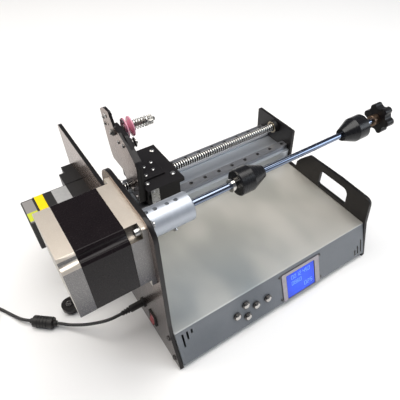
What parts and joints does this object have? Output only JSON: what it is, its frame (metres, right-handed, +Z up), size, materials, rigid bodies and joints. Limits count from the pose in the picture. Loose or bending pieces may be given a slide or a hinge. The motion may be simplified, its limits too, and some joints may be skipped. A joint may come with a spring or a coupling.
{
  "type": "wire coil winding machine",
  "caption": "Bench-top wire coil winding machine: a motor-driven shaft with centring cones, a screw-driven carriage with a wire tension unit, a sloping control panel and a power lead.",
  "frame": {"origin": "bottom centre of the machine's bounding box, on the table, without the lead and the pieces on it", "axes": "+X along the winding shaft from the motor to the knob, +Y from the front panel to the back, +Z up"},
  "size_m": [0.742, 0.306, 0.2406],
  "materials": {
    "plate_black": "glossy black powder coat",
    "cover_grey": "satin grey folded sheet",
    "steel": "bright steel fasteners",
    "bright": "polished",
    "cast": "cream-silver machined casting",
    "stack_black": "near-black laminated stack",
    "servo_black": "black housing with yellow band",
    "profile": "anodised profile",
    "carriage_black": "black anodised",
    "black_plastic": "moulded",
    "red_plastic": "dark red moulded",
    "pink_plastic": "pink moulded",
    "lcd": "blue lit display",
    "board": "green circuit board",
    "rubber": "matt",
    "lead_black": "smooth flexible jacket",
    "brown_metal": "dark bronze sleeve"
  },
  "bodies": {
    "frame": {"left_side_plate": "plate_black", "right_side_plate": "plate_black", "cabinet_cover": "cover_grey", "bottom_plate": "cover_grey", "frame_screws": "steel", "display_bezel": "cover_grey", "display_panel": "lcd", "button_housings": "bright", "rocker_housing": "black_plastic", "dc_jack": "black_plastic", "control_board": "board", "outrigger_bar": "plate_black", "outrigger_foot": "rubber", "motor_end_bells": "cast", "motor_stack": "stack_black", "motor_bolts": "steel", "module_base": "profile", "linear_rails": "steel", "screw_bearings": "steel", "servo_motor": "servo_black", "servo_cap": "servo_black", "dc_plug": "black_plastic", "ferrite_core": "black_plastic", "power_lead": "lead_black", "lead_coil": "lead_black", "power_brick": "black_plastic"},
    "spindle": {"motor_shaft": "steel", "shaft_coupling": "steel", "coupling_screws": "carriage_black", "winding_shaft": "bright"},
    "cone_set_left": {"left_cone": "carriage_black", "left_cone_collar": "bright"},
    "cone_set_right": {"right_cone": "carriage_black", "right_cone_collar": "bright"},
    "sleeve_body": {"knob_sleeve": "brown_metal"},
    "knob_body": {"star_knob": "black_plastic"},
    "carriage": {"guide_blocks": "steel", "carriage_block": "carriage_black", "ball_nut": "steel", "carriage_plate": "carriage_black", "carriage_screws": "steel", "limit_tab": "steel", "guide_plate": "plate_black", "tension_arm": "carriage_black", "guide_bracket": "carriage_black", "tension_rod": "steel", "tension_spring": "steel"},
    "screw_body": {"ball_screw": "bright", "screw_coupling": "steel"},
    "wheel_body": {"wire_pulley": "red_plastic"},
    "disc_body_inner": {"inner_tension_disc": "pink_plastic"},
    "disc_body_outer": {"outer_tension_disc": "pink_plastic"},
    "washer_body": {"tension_washer": "steel"},
    "thumb_nut_body": {"thumb_nut": "steel"},
    "rocker_body": {"rocker": "red_plastic"},
    "key_left": {"button_left": "bright"},
    "key_right": {"button_right": "bright"},
    "key_up": {"button_up": "bright"},
    "key_down": {"button_down": "bright"},
    "key_enter": {"button_enter": "bright"}
  },
  "joints": [
    {"name": "spindle_spin", "type": "hinge", "parent": "frame", "child": "spindle", "pos_m": [-0.1435, -0.07927, 0.1921], "axis": [1, 0, 0], "continuous": true},
    {"name": "left_cone_slide", "type": "slide", "parent": "spindle", "child": "cone_set_left", "axis": [1, 0, 0], "range_m": [-0.052, 0.06]},
    {"name": "right_cone_slide", "type": "slide", "parent": "spindle", "child": "cone_set_right", "axis": [1, 0, 0], "range_m": [-0.06, 0.01]},
    {"name": "sleeve_slide", "type": "slide", "parent": "spindle", "child": "sleeve_body", "axis": [1, 0, 0], "range_m": [-0.01, 0.0035]},
    {"name": "knob_turn", "type": "hinge", "parent": "sleeve_body", "child": "knob_body", "pos_m": [0.2265, -0.07927, 0.1921], "axis": [1, 0, 0], "range_deg": [-2900, 1020]},
    {"name": "carriage_slide", "type": "slide", "parent": "frame", "child": "carriage", "axis": [1, 0, 0], "range_m": [-0.034, 0.19]},
    {"name": "screw_turn", "type": "hinge", "parent": "frame", "child": "screw_body", "pos_m": [0.0165, 0.07283, 0.1137], "axis": [1, 0, 0], "range_deg": [-17110, 3070]},
    {"name": "wheel_spin", "type": "hinge", "parent": "carriage", "child": "wheel_body", "pos_m": [-0.075, 0.06153, 0.19], "axis": [1, 0, 0], "continuous": true},
    {"name": "inner_disc_spin", "type": "hinge", "parent": "carriage", "child": "disc_body_inner", "pos_m": [-0.0715, 0.08853, 0.1963], "axis": [1, 0, 0], "continuous": true},
    {"name": "outer_disc_spin", "type": "hinge", "parent": "carriage", "child": "disc_body_outer", "pos_m": [-0.0665, 0.08853, 0.1963], "axis": [1, 0, 0], "continuous": true},
    {"name": "washer_slide", "type": "slide", "parent": "carriage", "child": "washer_body", "axis": [1, 0, 0], "range_m": [-0.006, 0.004], "deforming": ["tension_spring"]},
    {"name": "thumb_nut_turn", "type": "hinge", "parent": "washer_body", "child": "thumb_nut_body", "pos_m": [-0.0385, 0.08853, 0.1963], "axis": [1, 0, 0], "range_deg": [-2710, 1810]},
    {"name": "rocker_tip", "type": "hinge", "parent": "frame", "child": "rocker_body", "pos_m": [-0.143, -0.08697, 0.0345], "axis": [0, 1, 0], "range_deg": [-16, 0]},
    {"name": "press_left", "type": "slide", "parent": "frame", "child": "key_left", "axis": [0, 0.9571, -0.2898], "range_m": [0, 0.0011], "stiffness_N_per_m": 400, "springref_m": -0.001},
    {"name": "press_right", "type": "slide", "parent": "frame", "child": "key_right", "axis": [0, 0.9571, -0.2898], "range_m": [0, 0.0011], "stiffness_N_per_m": 400, "springref_m": -0.001},
    {"name": "press_up", "type": "slide", "parent": "frame", "child": "key_up", "axis": [0, 0.9571, -0.2898], "range_m": [0, 0.0011], "stiffness_N_per_m": 400, "springref_m": -0.001},
    {"name": "press_down", "type": "slide", "parent": "frame", "child": "key_down", "axis": [0, 0.9571, -0.2898], "range_m": [0, 0.0011], "stiffness_N_per_m": 400, "springref_m": -0.001},
    {"name": "press_enter", "type": "slide", "parent": "frame", "child": "key_enter", "axis": [0, 0.9571, -0.2898], "range_m": [0, 0.0011], "stiffness_N_per_m": 400, "springref_m": -0.001}
  ],
  "couplings": [
    {"joint": "knob_turn", "follows": "sleeve_slide", "rad_per_m": 5026.5},
    {"joint": "screw_turn", "follows": "carriage_slide", "rad_per_m": -1570.8},
    {"joint": "thumb_nut_turn", "follows": "washer_slide", "rad_per_m": 7854}
  ]
}
